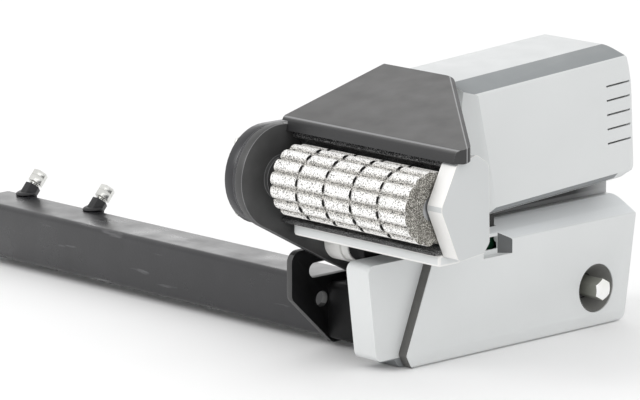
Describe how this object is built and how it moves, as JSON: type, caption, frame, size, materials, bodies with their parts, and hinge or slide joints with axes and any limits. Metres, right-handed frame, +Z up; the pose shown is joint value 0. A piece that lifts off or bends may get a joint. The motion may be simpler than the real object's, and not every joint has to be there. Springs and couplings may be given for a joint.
{
  "type": "caravan motor mover",
  "caption": "Caravan mover drive unit: ribbed friction roller in a sliding motor housing on a square cross tube, with a hex release in the lower cover.",
  "frame": {"origin": "middle of the overall box in plan, on the floor that the lower cover stands on", "axes": "+X along the cross tube from its open end to the roller side, -Y towards the tyre, +Z up"},
  "size_m": [0.692, 0.3856, 0.243],
  "materials": {
    "tube_paint": "satin dark grey powder coat",
    "black_paint": "black powder coat",
    "zinc_steel": "zinc plated",
    "case_paint": "semi-gloss black",
    "gritted_alloy": "gritted, with dark specks",
    "gear_steel": "machined",
    "motor_paint": "satin",
    "armature": "wound copper",
    "hood_plastic": "satin black, fine grain",
    "cover_plastic": "light grey, fine grain",
    "cap_paint": "light grey",
    "trim_plastic": "dark grey, matt",
    "bush_plastic": "natural",
    "bush_brass": "machined",
    "bright_hex": "bright",
    "flag_plastic": "dark green"
  },
  "bodies": {
    "frame": {"cross_tube": "tube_paint", "weld_nuts": "black_paint", "clamp_bolts": "zinc_steel", "clamp_lock_nuts": "zinc_steel", "inner_bracket": "black_paint", "outer_bracket": "black_paint", "cover_bolts": "zinc_steel", "lower_cover": "cover_plastic", "lower_side_panel": "cover_plastic", "panel_trim": "trim_plastic", "engage_gearbox": "motor_paint", "engage_motor": "motor_paint", "engage_bush": "bush_brass"},
    "carriage": {"gear_case": "case_paint", "gear_case_cover": "case_paint", "roller_bearings": "gear_steel", "idler_axles": "gear_steel", "motor_can": "motor_paint", "motor_end_bell": "motor_paint", "motor_tray": "black_paint", "roller_cover": "hood_plastic", "motor_cover": "cover_plastic", "corner_fairing": "cover_plastic", "end_cap": "cap_paint", "yoke_channel": "black_paint", "lower_lip": "cover_plastic", "tie_bush": "zinc_steel", "tie_tube": "black_paint", "outer_arm": "black_paint", "guide_pins": "zinc_steel", "guide_bushes": "bush_plastic", "rack_tail": "gear_steel", "slide_pads": "trim_plastic", "position_flag": "flag_plastic"},
    "roller": {"roller": "gritted_alloy", "roller_shaft": "gear_steel", "roller_gear": "gear_steel"},
    "idler_1": {"idler_gear_1": "gear_steel"},
    "idler_2": {"idler_gear_2": "gear_steel"},
    "idler_3": {"idler_gear_3": "gear_steel"},
    "rotor": {"motor_shaft": "gear_steel", "motor_armature": "armature"},
    "engage_drive": {"engage_shaft": "bright_hex", "engage_pinion": "gear_steel"}
  },
  "joints": [
    {"name": "carriage_slide", "type": "slide", "parent": "frame", "child": "carriage", "axis": [0, -1, 0], "range_m": [0, 0.03]},
    {"name": "roller_spin", "type": "hinge", "parent": "carriage", "child": "roller", "pos_m": [0.239, -0.14777, 0.1593], "axis": [1, 0, 0], "continuous": true},
    {"name": "idler_1_spin", "type": "hinge", "parent": "carriage", "child": "idler_1", "pos_m": [0.129, -0.09816, 0.15233], "axis": [1, 0, 0], "continuous": true},
    {"name": "idler_2_spin", "type": "hinge", "parent": "carriage", "child": "idler_2", "pos_m": [0.129, -0.04981, 0.16085], "axis": [1, 0, 0], "continuous": true},
    {"name": "idler_3_spin", "type": "hinge", "parent": "carriage", "child": "idler_3", "pos_m": [0.129, -0.00943, 0.1651], "axis": [1, 0, 0], "continuous": true},
    {"name": "rotor_spin", "type": "hinge", "parent": "carriage", "child": "rotor", "pos_m": [0.169, 0.02184, 0.16728], "axis": [1, 0, 0], "continuous": true},
    {"name": "engage_turn", "type": "hinge", "parent": "frame", "child": "engage_drive", "pos_m": [0.189, 0.13803, 0.034], "axis": [1, 0, 0], "range_deg": [-1, 145]}
  ],
  "couplings": [
    {"joint": "idler_1_spin", "follows": "roller_spin", "ratio": -2.5714},
    {"joint": "idler_2_spin", "follows": "roller_spin", "ratio": 7.7143},
    {"joint": "idler_3_spin", "follows": "roller_spin", "ratio": -22.041},
    {"joint": "rotor_spin", "follows": "roller_spin", "ratio": 56.676},
    {"joint": "engage_turn", "follows": "carriage_slide", "rad_per_m": 83.333}
  ]
}
